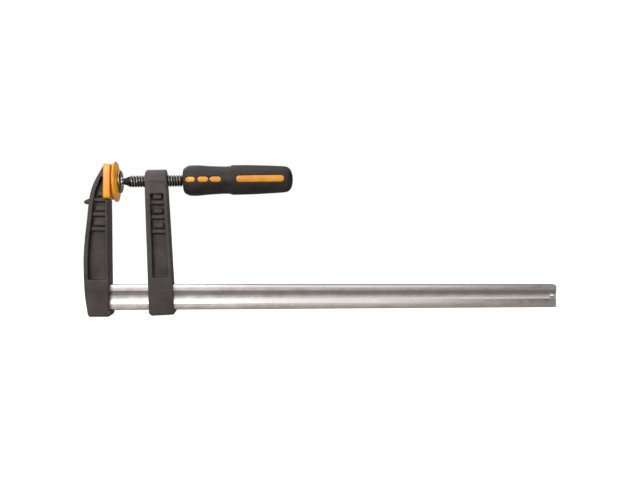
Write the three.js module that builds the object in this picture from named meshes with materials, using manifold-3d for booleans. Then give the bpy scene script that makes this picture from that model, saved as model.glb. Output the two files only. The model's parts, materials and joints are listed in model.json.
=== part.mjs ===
// F clamp: a flat rail with a fixed jaw, a sliding arm that cants and grips the rail,
// a screw with a moulded handle, and a ball-jointed pressure pad.
// Millimetres, +Z up. Origin: the middle of the fixed jaw cap's clamping face. +X runs along the rail.
import * as THREE from 'three';
import { mergeVertices } from 'three/addons/utils/BufferGeometryUtils.js';
import Module from 'manifold-3d';

const wasm = await Module();
wasm.setup();

// ---------------------------------------------------------------- driving dimensions

const CLEARANCE = 0.3;      // left between pieces that touch
const THROAT = 120;         // spindle axis, at the arm, down to the rail's top edge
const AXIS_HEIGHT = 2.5;    // spindle axis, at the arm, above the middle of the jaw cap
const LEAN = 2.4;           // degrees that the idle arm leans towards the fixed jaw
const ROCK = 3;             // degrees that the arm can cant back before it grips the rail

// The rail's tail is how far its end stays inside the jaw's back.
const RAIL = {
  height: 29.5, thickness: 9, end: 551.7, corner: 1.2, tail: 4,
  grooveHeight: 15, grooveDepth: 0.9, endChamfer: 2, stopInset: 4.8,
};

// Depths of the jaw are measured back from its iron face, and its heights up from the rail.
const JAW = {
  thickness: 26, webThickness: 9, backRim: 4.8, frontRim: 3.4, slotClearance: 0.4,
  topDepth: 5.6, noseDepth: 18, neckDepth: 22.6, bellyDepth: 25.6, hipDepth: 24.2, heelDepth: 20.5,
  belly: 32.5, block: 5.8, panel: 51.5,
  foot: 6.5, lipReach: 2.2, draft: 1.9,
};

const LUG = { reach: 6.2, height: 11, width: 12, belowCap: 3.85 };

const CAP = { height: 39.3, depth: 7.3, face: 2.3, wall: 2.4, sideWall: 2.7, corner: 2.5 };

const LADDER = { rungs: 3, pitch: 16.6, wide: 4.2, narrow: 5.6, rise: 4.5, firstStep: 4.1, step: 2 };

// The arm's left and right are measured from its middle; its taper is added on the way to the rail.
const ARM = {
  left: 12.1, right: 11.9, thickness: 26, taper: 3.4, foot: 4.1, footChamfer: 3, lipReach: 1.6,
  bossWall: 6.3, bossChamfer: 2.2, bossEdge: 0.8, webThickness: 9, leftRim: 5.8, rightRim: 4.2,
  recessTop: 15.5, block: 8.5, panel: 46.8, slotClearance: 0.5,
};

const PIN = { jaw: 5, stop: 5, upperGrip: 5, lowerGrip: 3, proud: 0.3, stopProud: 2, blind: 3.5 };

// Places along the screw are measured from the ball's middle; its reach is from there to the arm.
const SPINDLE = {
  diameter: 14, pitch: 3, depth: 1.5, neck: 7.4, neckEnd: 5.8, shoulder: 1.8, threadStart: 8.8,
  runIn: 4.5, tang: 9, tangLength: 70, ballDiameter: 11.4, ballFlat: 2.7, reach: 29.4,
};

const PAD = {
  gap: 2.88, lean: 2.4, diameter: 46.4, floor: 2.12, rim: 2.1, shoulder: 0.4, cone: 26.4, coneEnd: -0.5,
  skin: 1, seatWall: 1.4, seatEnd: -0.7, ringOuter: 26.6, ringWidth: 3.1, ringMouth: 15, mouthDepth: 0.6,
};

const HANDLE = { gap: 18.1, tip: 0.6, wall: 2.2, endWall: 2.4, inlaySink: 0.4, sides: 24 };

// Handle outline: distance behind its front end, and diameter.
const HANDLE_OUTLINE = [
  [0, 18.6], [1.3, 28.3], [3.6, 31.8], [8, 35.8], [15, 36], [29, 33.8], [50, 32.3],
  [57, 35.4], [71, 35.1], [107, 32.7], [121, 30.8], [125, 25.8], [128.4, 10.2],
];

// Windows in the grip: distance of both ends behind the front end, and height.
const HANDLE_WINDOWS = [
  [3.2, 15, 6.8], [17, 29.8, 6.8], [30.7, 44.4, 6.8], [60.9, 117.7, 8.5],
];

// ---------------------------------------------------------------- finishes

const finish = (color, roughness, metalness) => ({ color, roughness, metalness });
const BLACK_CASTING = finish(0x3d3936, 0.55, 0.3);
const BRIGHT_STEEL = finish(0xc9c5c3, 0.3, 1);
const BLACK_STEEL = finish(0x232120, 0.4, 0.8);
const CHROME = finish(0xe8e8ea, 0.1, 1);
const RING_STEEL = finish(0x6e6242, 0.4, 0.8);
const ORANGE = finish(0xf2a01e, 0.4, 0);
const BLACK_GRIP = finish(0x2b2928, 0.65, 0);
const SEAT_POLYMER = finish(0xd8d4c8, 0.6, 0);

// ---------------------------------------------------------------- shape helpers

const radians = THREE.MathUtils.degToRad;

function solid(geometry) {
  const plain = geometry.index ? geometry.toNonIndexed() : geometry.clone();
  plain.deleteAttribute('normal');
  plain.deleteAttribute('uv');
  const merged = mergeVertices(plain, 1e-4);
  return new wasm.Manifold(new wasm.Mesh({
    numProp: 3,
    vertProperties: new Float32Array(merged.attributes.position.array),
    triVerts: new Uint32Array(merged.index.array),
  }));
}

function geometryOf(manifold) {
  const mesh = manifold.getMesh();
  const geometry = new THREE.BufferGeometry();
  geometry.setAttribute('position', new THREE.BufferAttribute(mesh.vertProperties, 3));
  geometry.setIndex(new THREE.BufferAttribute(mesh.triVerts, 1));
  geometry.computeVertexNormals();
  return geometry;
}

function box(x0, x1, y0, y1, z0, z1) {
  const geometry = new THREE.BoxGeometry(x1 - x0, y1 - y0, z1 - z0);
  return solid(geometry.translate((x0 + x1) / 2, (y0 + y1) / 2, (z0 + z1) / 2));
}

/** A plate with its outline in X and Z, between two Y planes. */
function plate(shape, y0, y1, curveSegments = 8) {
  const geometry = new THREE.ExtrudeGeometry(shape, { depth: y1 - y0, bevelEnabled: false, curveSegments });
  return solid(geometry.rotateX(Math.PI / 2).translate(0, y1, 0));
}

/** A turned body about the X axis, from [x, radius] stations in order of x. */
function turned(stations, segments = 32) {
  const points = stations.map(([x, radius]) => new THREE.Vector2(radius, x));
  return new THREE.LatheGeometry(points, segments).rotateZ(-Math.PI / 2);
}

/** A ball with its poles on the X axis. */
function sphere(radius) {
  return solid(new THREE.SphereGeometry(radius, 20, 12).rotateZ(Math.PI / 2));
}

/** A round rod along Y. */
function crossPin(x, z, diameter, y0, y1) {
  const geometry = new THREE.CylinderGeometry(diameter / 2, diameter / 2, y1 - y0, 16);
  return solid(geometry.translate(x, (y0 + y1) / 2, z));
}

function roundedRectangle(x0, x1, z0, z1, radius) {
  const shape = new THREE.Shape();
  shape.moveTo(x0 + radius, z0);
  shape.lineTo(x1 - radius, z0);
  shape.absarc(x1 - radius, z0 + radius, radius, -Math.PI / 2, 0, false);
  shape.lineTo(x1, z1 - radius);
  shape.absarc(x1 - radius, z1 - radius, radius, 0, Math.PI / 2, false);
  shape.lineTo(x0 + radius, z1);
  shape.absarc(x0 + radius, z1 - radius, radius, Math.PI / 2, Math.PI, false);
  shape.lineTo(x0, z0 + radius);
  shape.absarc(x0 + radius, z0 + radius, radius, Math.PI, 1.5 * Math.PI, false);
  return shape;
}

function addPart(parent, name, shape, look) {
  const geometry = shape.isBufferGeometry ? shape : geometryOf(shape);
  const mesh = new THREE.Mesh(geometry, new THREE.MeshStandardMaterial(look));
  mesh.name = name;
  parent.add(mesh);
}

// ---------------------------------------------------------------- shared places

const railTop = AXIS_HEIGHT - THROAT;
const railBottom = railTop - RAIL.height;
const railMiddle = (railTop + railBottom) / 2;
const ironFace = -CAP.face - CLEARANCE;
const capHalf = CAP.height / 2;
const jawFoot = railBottom - JAW.foot;
const headTop = capHalf - CAP.wall - CLEARANCE;
const jawHalf = JAW.thickness / 2;
const railStart = ironFace - JAW.heelDepth + RAIL.tail;
const jawPins = [-1, 1].map((side) => ({
  x: ironFace - JAW.heelDepth / 2, z: railMiddle + side * RAIL.height / 4,
}));

// The arm's own frame: x along the spindle axis, z up the arm, origin on the axis at mid arm.
const armTurn = -radians(LEAN);
const armCos = Math.cos(armTurn);
const armSin = -Math.sin(armTurn);
/** Height, in the arm's frame, of a level line of the row frame where it crosses local x. */
const levelInArm = (level, x) => (level - AXIS_HEIGHT - x * armSin) / armCos;
const armRight = (z) => ARM.right + ARM.taper * THREE.MathUtils.clamp(-z / THROAT, 0, 1);
const footRight = ARM.right + ARM.taper;

const upperGrip = { x: footRight - PIN.upperGrip };
upperGrip.z = levelInArm(railTop, upperGrip.x) + CLEARANCE + PIN.upperGrip / 2;
const lowerGrip = { x: -ARM.left + 2 * PIN.lowerGrip };
const rockRise = (upperGrip.x - lowerGrip.x) * Math.sin(radians(ROCK));
lowerGrip.z = levelInArm(railBottom, lowerGrip.x) - rockRise - CLEARANCE - PIN.lowerGrip / 2;
const slotTop = levelInArm(railTop, -ARM.left) + CLEARANCE;
const slotBottom = lowerGrip.z + PIN.lowerGrip / 2 - PIN.proud;
const armFoot = slotBottom - ARM.foot;

const stopX = RAIL.end - RAIL.stopInset;

const ballRadius = SPINDLE.ballDiameter / 2;
const ballX = -ARM.left - SPINDLE.reach;
const padFace = -SPINDLE.ballFlat - PAD.floor;
const armX = PAD.gap - ballX * armCos - padFace * Math.cos(radians(PAD.lean));
const handleFront = ARM.right + HANDLE.gap;
const handleLength = HANDLE_OUTLINE[HANDLE_OUTLINE.length - 1][0] + HANDLE.tip;

// ---------------------------------------------------------------- rail and end stop

function makeRail() {
  const { corner, grooveHeight, grooveDepth, endChamfer } = RAIL;
  const half = RAIL.thickness / 2;
  const bar = roundedRectangle(-half, half, railBottom, railTop, corner);
  const groove = (side) => {
    const shape = new THREE.Shape();
    shape.moveTo(side * (half + 1), railMiddle - grooveHeight / 2);
    shape.lineTo(side * half, railMiddle - grooveHeight / 2);
    shape.quadraticCurveTo(
      side * (half - 2 * grooveDepth), railMiddle, side * half, railMiddle + grooveHeight / 2);
    shape.lineTo(side * (half + 1), railMiddle + grooveHeight / 2);
    return shape;
  };
  // Drawn across the rail, then swung round so that its length runs along X.
  const along = (shape, x0, x1) => plate(shape, x0, x1, 6).rotate([0, 0, -90]);
  let body = along(bar, railStart, RAIL.end);
  for (const side of [-1, 1]) body = body.subtract(along(groove(side), railStart - 1, RAIL.end + 1));
  const corner45 = new THREE.Shape();
  corner45.moveTo(RAIL.end - endChamfer, railTop + 1);
  corner45.lineTo(RAIL.end + 1, railTop + 1);
  corner45.lineTo(RAIL.end + 1, railTop - endChamfer);
  corner45.lineTo(RAIL.end, railTop - endChamfer);
  corner45.lineTo(RAIL.end - endChamfer, railTop);
  body = body.subtract(plate(corner45, -RAIL.thickness, RAIL.thickness));
  const reach = RAIL.thickness;
  for (const pin of jawPins) {
    body = body.subtract(crossPin(pin.x, pin.z, PIN.jaw + 2 * CLEARANCE, -reach, reach));
  }
  return body.subtract(crossPin(stopX, railMiddle, PIN.stop + 2 * CLEARANCE, -reach, reach));
}

function makeStopPin() {
  const reach = RAIL.thickness / 2 + PIN.stopProud;
  return crossPin(stopX, railMiddle, PIN.stop, -reach, reach);
}

// ---------------------------------------------------------------- fixed jaw

const bellyZ = railTop + JAW.belly;
const jawBack = new THREE.SplineCurve([
  [JAW.topDepth, headTop], [JAW.noseDepth, -capHalf / 2], [JAW.neckDepth, (bellyZ - capHalf / 2) / 2],
  [JAW.bellyDepth, bellyZ], [JAW.hipDepth, railTop - 7], [JAW.heelDepth, jawFoot + 2.5],
].map(([depth, z]) => new THREE.Vector2(ironFace - depth, z))).getPoints(26);
const draftTop = -capHalf - 6;              // the jaw's front face starts to swell here

function jawOutline() {
  const shape = new THREE.Shape();
  const front = ironFace + JAW.draft;
  shape.moveTo(ironFace - JAW.heelDepth + 2, jawFoot);
  shape.lineTo(front - 0.4, jawFoot);
  shape.quadraticCurveTo(front + 1.4, jawFoot, front + 1.8, jawFoot + 2.4);
  shape.quadraticCurveTo(front + JAW.lipReach + 0.6, railBottom - 0.3, front, railBottom - 0.4);
  shape.lineTo(front, railTop);
  shape.lineTo(ironFace, draftTop);
  shape.lineTo(ironFace, headTop);
  for (const point of jawBack) shape.lineTo(point.x, point.y);
  return shape;
}

/** The recess in one broad side: the outline between two heights, inside the two rims. */
function jawRecess(z0, z1) {
  const slope = JAW.draft / (railTop - draftTop);
  const frontEdge = (z) => ironFace - JAW.frontRim + Math.min(0, z - draftTop) * slope;
  const shape = new THREE.Shape();
  shape.moveTo(frontEdge(z0), z0);
  shape.lineTo(frontEdge(z1), z1);
  const inside = jawBack.filter((point) => point.y > z0 && point.y < z1);
  const edge = (z) => {
    const after = jawBack.findIndex((point) => point.y <= z);
    const [a, b] = [jawBack[after - 1], jawBack[after]];
    return THREE.MathUtils.mapLinear(z, a.y, b.y, a.x, b.x) + JAW.backRim;
  };
  shape.lineTo(edge(z1), z1);
  for (const point of inside) shape.lineTo(point.x + JAW.backRim, point.y);
  shape.lineTo(edge(z0), z0);
  return shape;
}

/** Each raised rung from the lowest up, wide and narrow by turns, as far as they fit under a height. */
function rungs(foot, top) {
  const list = [];
  for (let turn = 0; turn < LADDER.rungs; turn += 1) {
    const low = foot + LADDER.firstStep + turn * LADDER.pitch;
    const next = low + LADDER.wide + LADDER.step;
    list.push({ low, high: low + LADDER.wide, narrow: false });
    list.push({ low: next, high: next + LADDER.narrow, narrow: true });
  }
  return list.filter(({ high }) => high < top);
}

function makeFixedJaw() {
  const webHalf = JAW.webThickness / 2;
  const rungFace = webHalf + LADDER.rise;
  let body = plate(jawOutline(), -jawHalf, jawHalf);
  const recessLow = railTop + JAW.block;
  const recessTop = 5;
  const narrowInset = 2.3;
  for (const side of [-1, 1]) {
    const [y0, y1] = side < 0 ? [-jawHalf - 1, -webHalf] : [webHalf, jawHalf + 1];
    let recess = plate(jawRecess(recessLow, recessTop), y0, y1);
    const [r0, r1] = side < 0 ? [-rungFace, -webHalf + 1] : [webHalf - 1, rungFace];
    for (const { low, high, narrow } of rungs(recessLow + JAW.panel, recessTop - 4)) {
      const rung = plate(jawRecess(low, high), r0, r1);
      recess = recess.subtract(rung.translate([narrow ? narrowInset : 0, 0, 0]));
    }
    body = body.subtract(recess);
  }
  const lug = new THREE.Shape();
  const root = ironFace - JAW.noseDepth + 2;
  const tip = root - 5 - LUG.reach;
  const lugZ = -capHalf - LUG.belowCap;
  lug.moveTo(root, lugZ + LUG.height / 2 + 1);
  lug.quadraticCurveTo(tip + LUG.reach / 2, lugZ + 3, tip, lugZ + 1);
  lug.quadraticCurveTo(tip - 0.6, lugZ - 1.6, tip + 1, lugZ - 2.4);
  lug.quadraticCurveTo(root - 4, lugZ - 2.8, root - 3, lugZ - LUG.height / 2);
  lug.lineTo(root, lugZ - LUG.height / 2);
  body = body.add(plate(lug, -LUG.width / 2, LUG.width / 2));
  // The groove behind the head plate takes the lower lip of the slip-on cap.
  const lipTop = -headTop;
  const lipLow = -capHalf - CLEARANCE;
  const grooveBack = -CAP.depth - CLEARANCE;
  body = body.subtract(box(grooveBack, 5, -jawHalf - 1, jawHalf + 1, lipLow, lipTop));
  const slotHalf = RAIL.thickness / 2 + JAW.slotClearance;
  const slot = box(railStart - CLEARANCE, 20, -slotHalf, slotHalf,
    railBottom - JAW.slotClearance, railTop + JAW.slotClearance);
  body = body.subtract(slot);
  for (const pin of jawPins) {
    const start = -jawHalf + PIN.blind - CLEARANCE;
    body = body.subtract(crossPin(pin.x, pin.z, PIN.jaw + 2 * CLEARANCE, start, jawHalf + 1));
  }
  return body;
}

function makeJawPin(index) {
  const { x, z } = jawPins[index];
  return crossPin(x, z, PIN.jaw, -jawHalf + PIN.blind, jawHalf);
}

function makeJawCap() {
  const halfWidth = jawHalf + CLEARANCE + CAP.sideWall;
  const across = (width, height, radius, x0, x1) => {
    const shape = roundedRectangle(-width, width, -height, height, radius);
    return plate(shape, x0, x1, 4).rotate([0, 0, -90]);
  };
  const shell = across(halfWidth, capHalf, CAP.corner, -CAP.depth, 0);
  const room = across(jawHalf + CLEARANCE, headTop + CLEARANCE, 0.5, -CAP.depth - 1, -CAP.face);
  return shell.subtract(room);
}

// ---------------------------------------------------------------- sliding arm

function armOutline() {
  const shape = new THREE.Shape();
  shape.moveTo(-ARM.left + ARM.footChamfer, armFoot);
  const lip = footRight + ARM.lipReach;
  shape.lineTo(lip - ARM.footChamfer, armFoot);
  shape.quadraticCurveTo(lip, armFoot, lip, armFoot + ARM.footChamfer);
  shape.quadraticCurveTo(lip, slotBottom, footRight, slotBottom + 1);
  shape.lineTo(footRight, -THROAT);
  shape.lineTo(ARM.right, 0);
  shape.lineTo(-ARM.left, 0);
  shape.lineTo(-ARM.left, armFoot + ARM.footChamfer);
  return shape;
}

function armRecess(z0, z1, inset = 0) {
  const shape = new THREE.Shape();
  shape.moveTo(-ARM.left + ARM.leftRim + inset, z0);
  shape.lineTo(armRight(z0) - ARM.rightRim - inset, z0);
  shape.lineTo(armRight(z1) - ARM.rightRim - inset, z1);
  shape.lineTo(-ARM.left + ARM.leftRim + inset, z1);
  return shape;
}

function makeSlidingArm() {
  const half = ARM.thickness / 2;
  const webHalf = ARM.webThickness / 2;
  const rungFace = webHalf + LADDER.rise;
  let body = plate(armOutline(), -half, half);
  const { bossChamfer, bossEdge } = ARM;
  const bossRadius = SPINDLE.diameter / 2 + ARM.bossWall;
  body = body.add(solid(turned([
    [-ARM.left, 0], [-ARM.left, bossRadius - bossChamfer], [-ARM.left + bossChamfer, bossRadius],
    [ARM.right - bossEdge, bossRadius], [ARM.right, bossRadius - bossEdge], [ARM.right, 0],
  ])));
  const recessLow = -THROAT + ARM.block;
  const recessHigh = -ARM.recessTop;
  const narrowInset = 2.2;
  for (const side of [-1, 1]) {
    const [y0, y1] = side < 0 ? [-half - 1, -webHalf] : [webHalf, half + 1];
    let recess = plate(armRecess(recessLow, recessHigh), y0, y1);
    const [r0, r1] = side < 0 ? [-rungFace, -webHalf + 1] : [webHalf - 1, rungFace];
    for (const { low, high, narrow } of rungs(recessLow + ARM.panel, recessHigh)) {
      recess = recess.subtract(plate(armRecess(low, high, narrow ? narrowInset : 0), r0, r1));
    }
    body = body.subtract(recess);
  }
  const slotHalf = RAIL.thickness / 2 + ARM.slotClearance;
  body = body.subtract(box(-40, 40, -slotHalf, slotHalf, slotBottom, slotTop));
  const bore = SPINDLE.diameter / 2 + CLEARANCE;
  body = body.subtract(solid(turned([[-40, 0], [-40, bore], [40, bore], [40, 0]])));
  for (const [grip, diameter] of [[upperGrip, PIN.upperGrip], [lowerGrip, PIN.lowerGrip]]) {
    const start = -half + PIN.blind - CLEARANCE;
    body = body.subtract(crossPin(grip.x, grip.z, diameter + 2 * CLEARANCE, start, half + 1));
  }
  return body;
}

function makeGripPin(grip, diameter) {
  const half = ARM.thickness / 2;
  return crossPin(grip.x, grip.z, diameter, -half + PIN.blind, half);
}

// ---------------------------------------------------------------- spindle and ball

/** How far the thread stands at a point, from 0 at the root to 1 at the crest. */
function threadHeight(x, angle) {
  const turn = x / SPINDLE.pitch - angle / (2 * Math.PI);
  const fromCrest = Math.abs(turn - Math.round(turn)) * 2;
  return THREE.MathUtils.clamp((0.85 - fromCrest) / 0.7, 0, 1);
}

function makeSpindle() {
  const { diameter, depth, pitch } = SPINDLE;
  const neckRadius = SPINDLE.neck / 2;
  const neckStart = ballX + Math.sqrt(ballRadius ** 2 - neckRadius ** 2);
  const neckEnd = ballX + SPINDLE.neckEnd;
  const threadStart = ballX + SPINDLE.threadStart;
  const threadEnd = handleFront - 1;
  const root = diameter / 2 - depth;
  const stations = [
    [neckStart, 0], [neckStart, neckRadius], [neckEnd, neckRadius],
    [neckEnd + SPINDLE.shoulder, (root + neckRadius) / 2],
  ];
  const stepsPerPitch = 4;
  const steps = Math.round((threadEnd - threadStart) / pitch * stepsPerPitch);
  for (let step = 0; step <= steps; step += 1) {
    stations.push([THREE.MathUtils.lerp(threadStart, threadEnd, step / steps), root]);
  }
  const tangEnd = handleFront + SPINDLE.tangLength;
  const tang = SPINDLE.tang / 2;
  stations.push([threadEnd + 0.5, tang], [tangEnd, tang], [tangEnd, 0]);
  const geometry = turned(stations, 16);
  const position = geometry.attributes.position;
  for (let i = 0; i < position.count; i += 1) {
    const [x, y, z] = [position.getX(i), position.getY(i), position.getZ(i)];
    if (x < threadStart - 0.01 || x > threadEnd + 0.01) continue;
    const rise = THREE.MathUtils.clamp((x - threadStart) / SPINDLE.runIn, 0.2, 1);
    const scale = 1 + (depth * rise * threadHeight(x, Math.atan2(z, y))) / root;
    position.setXYZ(i, x, y * scale, z * scale);
  }
  // The neck's end is hollowed to sit around the ball.
  const around = sphere(ballRadius + CLEARANCE).translate([ballX, 0, 0]);
  return solid(geometry).subtract(around);
}

// ---------------------------------------------------------------- pressure pad (about the ball's middle)

const padRadius = PAD.diameter / 2;
const ringStart = PAD.coneEnd + CLEARANCE;
const plateRoom = padFace + PAD.skin;

const coneStart = padFace + PAD.rim + PAD.shoulder;
const coneTop = padRadius - 1;
const coneSlope = (coneTop - PAD.cone / 2) / (PAD.coneEnd - coneStart);
/** Radius at x of the pad's cone, moved in by some wall thickness. */
const coneRadius = (x, wall) => coneTop - (x - coneStart) * coneSlope - wall * Math.hypot(1, coneSlope);
/** Where that cone meets a given radius. */
const coneReach = (radius, wall) => coneStart + (coneRadius(coneStart, wall) - radius) / coneSlope;

function makePadCap() {
  const room = padRadius - PAD.skin;
  return solid(turned([
    [padFace, 0], [padFace, padRadius - 0.8], [padFace + 0.8, padRadius],
    [padFace + PAD.rim, padRadius], [coneStart, coneTop],
    [PAD.coneEnd, PAD.cone / 2], [PAD.coneEnd, coneRadius(PAD.coneEnd, PAD.skin)],
    [coneReach(room, PAD.skin), room], [plateRoom, room], [plateRoom, 0],
  ], 36));
}

function makePressurePlate() {
  const seat = ballRadius + PAD.seatWall + 2 * CLEARANCE;
  const wall = PAD.skin + CLEARANCE;
  const disc = padRadius - wall;
  const outer = solid(turned([
    [plateRoom + CLEARANCE, 0], [plateRoom + CLEARANCE, disc], [coneReach(disc, wall), disc],
    [PAD.coneEnd, coneRadius(PAD.coneEnd, wall)], [PAD.coneEnd, 0],
  ], 24));
  return outer.subtract(sphere(seat));
}

/** The ball, flattened where it faces the workpiece. */
function makeBall() {
  return sphere(ballRadius).subtract(box(-2 * ballRadius, -SPINDLE.ballFlat, -10, 10, -10, 10));
}

/** The low-friction liner between ball and plate: a spherical cup. */
function makePadSeat() {
  const inner = ballRadius + CLEARANCE;
  const outer = inner + PAD.seatWall;
  const floor = plateRoom + 3 * CLEARANCE;
  const cup = sphere(outer).subtract(sphere(inner));
  return cup.intersect(box(floor, PAD.seatEnd, -outer, outer, -outer, outer));
}

function makeRetainingRing() {
  const ringEnd = ringStart + PAD.ringWidth;
  const ball = ballRadius + CLEARANCE;
  const bore = (x) => Math.sqrt(ball ** 2 - x ** 2);
  const outer = PAD.ringOuter / 2;
  const mouthStart = ringEnd - PAD.mouthDepth;
  return solid(turned([
    [ringStart, bore(ringStart)], [ringStart, outer], [ringEnd - 1.2, outer],
    [ringEnd, outer - 2.2], [ringEnd, PAD.ringMouth / 2], [mouthStart, bore(mouthStart)],
    [mouthStart / 2, bore(mouthStart / 2)], [ringStart, bore(ringStart)],
  ], 32));
}

// ---------------------------------------------------------------- handle (in the arm's frame)

/** The handle's outline, a wall thickness in from its sides and another from its ends. */
function handleStations(wall, endWall) {
  const last = HANDLE_OUTLINE.length - 1;
  const back = handleFront + handleLength - endWall;
  const rings = HANDLE_OUTLINE.map(([x, diameter], i) => {
    const nudge = i < 3 ? endWall : i > last - 3 ? -endWall : 0;
    return [handleFront + x + nudge, Math.max(diameter / 2 - wall, 3)];
  });
  return [[rings[0][0], 0], ...rings, [back, 0]];
}

/** A window's stadium outline, right through the handle, widened by a margin. */
function windowPrism([x0, x1, height], margin) {
  const half = height / 2 + margin;
  const shape = roundedRectangle(
    handleFront + x0 - margin, handleFront + x1 + margin, -half, half, half - 0.01);
  return plate(shape, -HANDLE_OUTLINE[4][1], HANDLE_OUTLINE[4][1], 4);
}

function makeHandle() {
  const { wall, endWall, inlaySink, sides } = HANDLE;
  const body = (sideWall, tipWall) => solid(turned(handleStations(sideWall, tipWall), sides));
  const tang = SPINDLE.tang / 2 + CLEARANCE;
  const socketStart = handleFront - 5;
  const socketEnd = handleFront + SPINDLE.tangLength + CLEARANCE;
  const socket = solid(turned([
    [socketStart, 0], [socketStart, tang], [socketEnd, tang], [socketEnd, 0]], 16));
  const sunk = body(inlaySink, 0);
  let core = body(wall, endWall);
  let grip = body(0, 0).subtract(body(wall - CLEARANCE, endWall - CLEARANCE));
  for (const opening of HANDLE_WINDOWS) {
    core = core.add(sunk.intersect(windowPrism(opening, -CLEARANCE)));
    grip = grip.subtract(windowPrism(opening, 0));
  }
  return { core: core.subtract(socket), grip: grip.subtract(socket) };
}

// ---------------------------------------------------------------- assembly

const clamp = new THREE.Group();

addPart(clamp, 'rail', makeRail(), BRIGHT_STEEL);
addPart(clamp, 'end_stop_pin', makeStopPin(), CHROME);
addPart(clamp, 'fixed_jaw', makeFixedJaw(), BLACK_CASTING);
addPart(clamp, 'jaw_pin_upper', makeJawPin(1), BLACK_STEEL);
addPart(clamp, 'jaw_pin_lower', makeJawPin(0), BLACK_STEEL);
addPart(clamp, 'jaw_cap', makeJawCap(), ORANGE);

const arm = new THREE.Group();
arm.position.set(armX, 0, AXIS_HEIGHT);
arm.rotation.y = armTurn;
clamp.add(arm);
addPart(arm, 'sliding_arm', makeSlidingArm(), BLACK_CASTING);
addPart(arm, 'grip_pin_upper', makeGripPin(upperGrip, PIN.upperGrip), BLACK_STEEL);
addPart(arm, 'grip_pin_lower', makeGripPin(lowerGrip, PIN.lowerGrip), BLACK_STEEL);
addPart(arm, 'spindle', makeSpindle(), BLACK_STEEL);
const handle = makeHandle();
addPart(arm, 'handle_core', handle.core, ORANGE);
addPart(arm, 'handle_grip', handle.grip, BLACK_GRIP);

const pad = new THREE.Group();
pad.position.set(ballX, 0, 0);
pad.rotation.y = radians(LEAN - PAD.lean);
arm.add(pad);
addPart(pad, 'spindle_ball', makeBall(), CHROME);
addPart(pad, 'pad_seat', makePadSeat(), SEAT_POLYMER);
addPart(pad, 'retaining_ring', makeRetainingRing(), RING_STEEL);
addPart(pad, 'pressure_plate', makePressurePlate(), BRIGHT_STEEL);
addPart(pad, 'pad_cap', makePadCap(), ORANGE);

export default clamp;
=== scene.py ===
"""F clamp with a fixed jaw, a canting sliding arm, a screw with a moulded handle and a swivel pad.

Lengths in the pieces' fields are millimetres and those of the studio are metres. Meshes are made in metres,
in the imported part's own frame.
"""

import json
import logging
import math
from dataclasses import dataclass
from enum import Enum
from typing import Any, Callable, Iterable, Optional, Sequence

import bmesh
import bpy
from mathutils import Matrix, Vector


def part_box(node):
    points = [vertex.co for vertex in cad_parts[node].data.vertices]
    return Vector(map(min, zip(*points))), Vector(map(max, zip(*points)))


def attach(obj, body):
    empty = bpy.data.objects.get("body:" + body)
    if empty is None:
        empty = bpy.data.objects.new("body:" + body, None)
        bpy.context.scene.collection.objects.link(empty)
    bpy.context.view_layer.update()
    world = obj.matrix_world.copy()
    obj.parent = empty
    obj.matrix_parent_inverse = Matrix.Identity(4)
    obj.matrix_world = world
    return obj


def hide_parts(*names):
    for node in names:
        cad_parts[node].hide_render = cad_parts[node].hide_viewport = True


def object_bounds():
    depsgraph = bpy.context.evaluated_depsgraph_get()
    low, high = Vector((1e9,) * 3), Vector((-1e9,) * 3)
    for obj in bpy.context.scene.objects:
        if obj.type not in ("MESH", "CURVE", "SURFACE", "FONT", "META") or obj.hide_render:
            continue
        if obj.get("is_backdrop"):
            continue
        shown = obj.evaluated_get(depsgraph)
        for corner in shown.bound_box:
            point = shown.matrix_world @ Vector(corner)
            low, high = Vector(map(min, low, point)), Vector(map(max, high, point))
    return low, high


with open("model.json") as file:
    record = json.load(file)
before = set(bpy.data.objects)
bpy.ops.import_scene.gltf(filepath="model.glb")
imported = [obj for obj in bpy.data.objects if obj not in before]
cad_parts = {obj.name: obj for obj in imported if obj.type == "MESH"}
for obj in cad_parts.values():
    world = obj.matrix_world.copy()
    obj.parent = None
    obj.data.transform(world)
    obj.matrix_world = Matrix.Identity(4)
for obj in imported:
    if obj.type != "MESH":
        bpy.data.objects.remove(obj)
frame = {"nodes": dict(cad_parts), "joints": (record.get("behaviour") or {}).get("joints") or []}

LOG = logging.getLogger("f_clamp")
MM = 0.001
CUTTER_REACH = 2.0


class Slot(Enum):
    """The record's material slots."""

    RAIL_STEEL = "zinc_plated_steel"
    PIN_STEEL = "bright_pin_steel"
    CASTING = "black_casting"
    BLACK_STEEL = "black_steel"
    HARDENED = "hardened_steel"
    CHROME = "chrome"
    RING_STEEL = "bronzed_steel"
    LINER = "liner_polymer"
    ORANGE = "orange_plastic"
    HANDLE_ORANGE = "orange_handle_plastic"
    GRIP = "black_grip"


# ---------------------------------------------------------------- shader graphs


class Value:
    """A shader socket whose arithmetic adds Math nodes."""

    def __init__(self, graph: "Nodes", socket: Any) -> None:
        """Keeps the tree's nodes and the output socket."""
        self.graph = graph
        self.socket = socket

    def __add__(self, other: Any) -> "Value":
        """Sum."""
        return self.graph.maths("ADD", self, other)

    __radd__ = __add__

    def __mul__(self, other: Any) -> "Value":
        """Product."""
        return self.graph.maths("MULTIPLY", self, other)

    __rmul__ = __mul__

    def __sub__(self, other: Any) -> "Value":
        """Difference."""
        return self.graph.maths("SUBTRACT", self, other)

    def __rsub__(self, other: Any) -> "Value":
        """Difference from a number."""
        return self.graph.maths("SUBTRACT", other, self)

    def __abs__(self) -> "Value":
        """Size without its sign."""
        return self.graph.maths("ABSOLUTE", self, 0.0)


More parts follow.
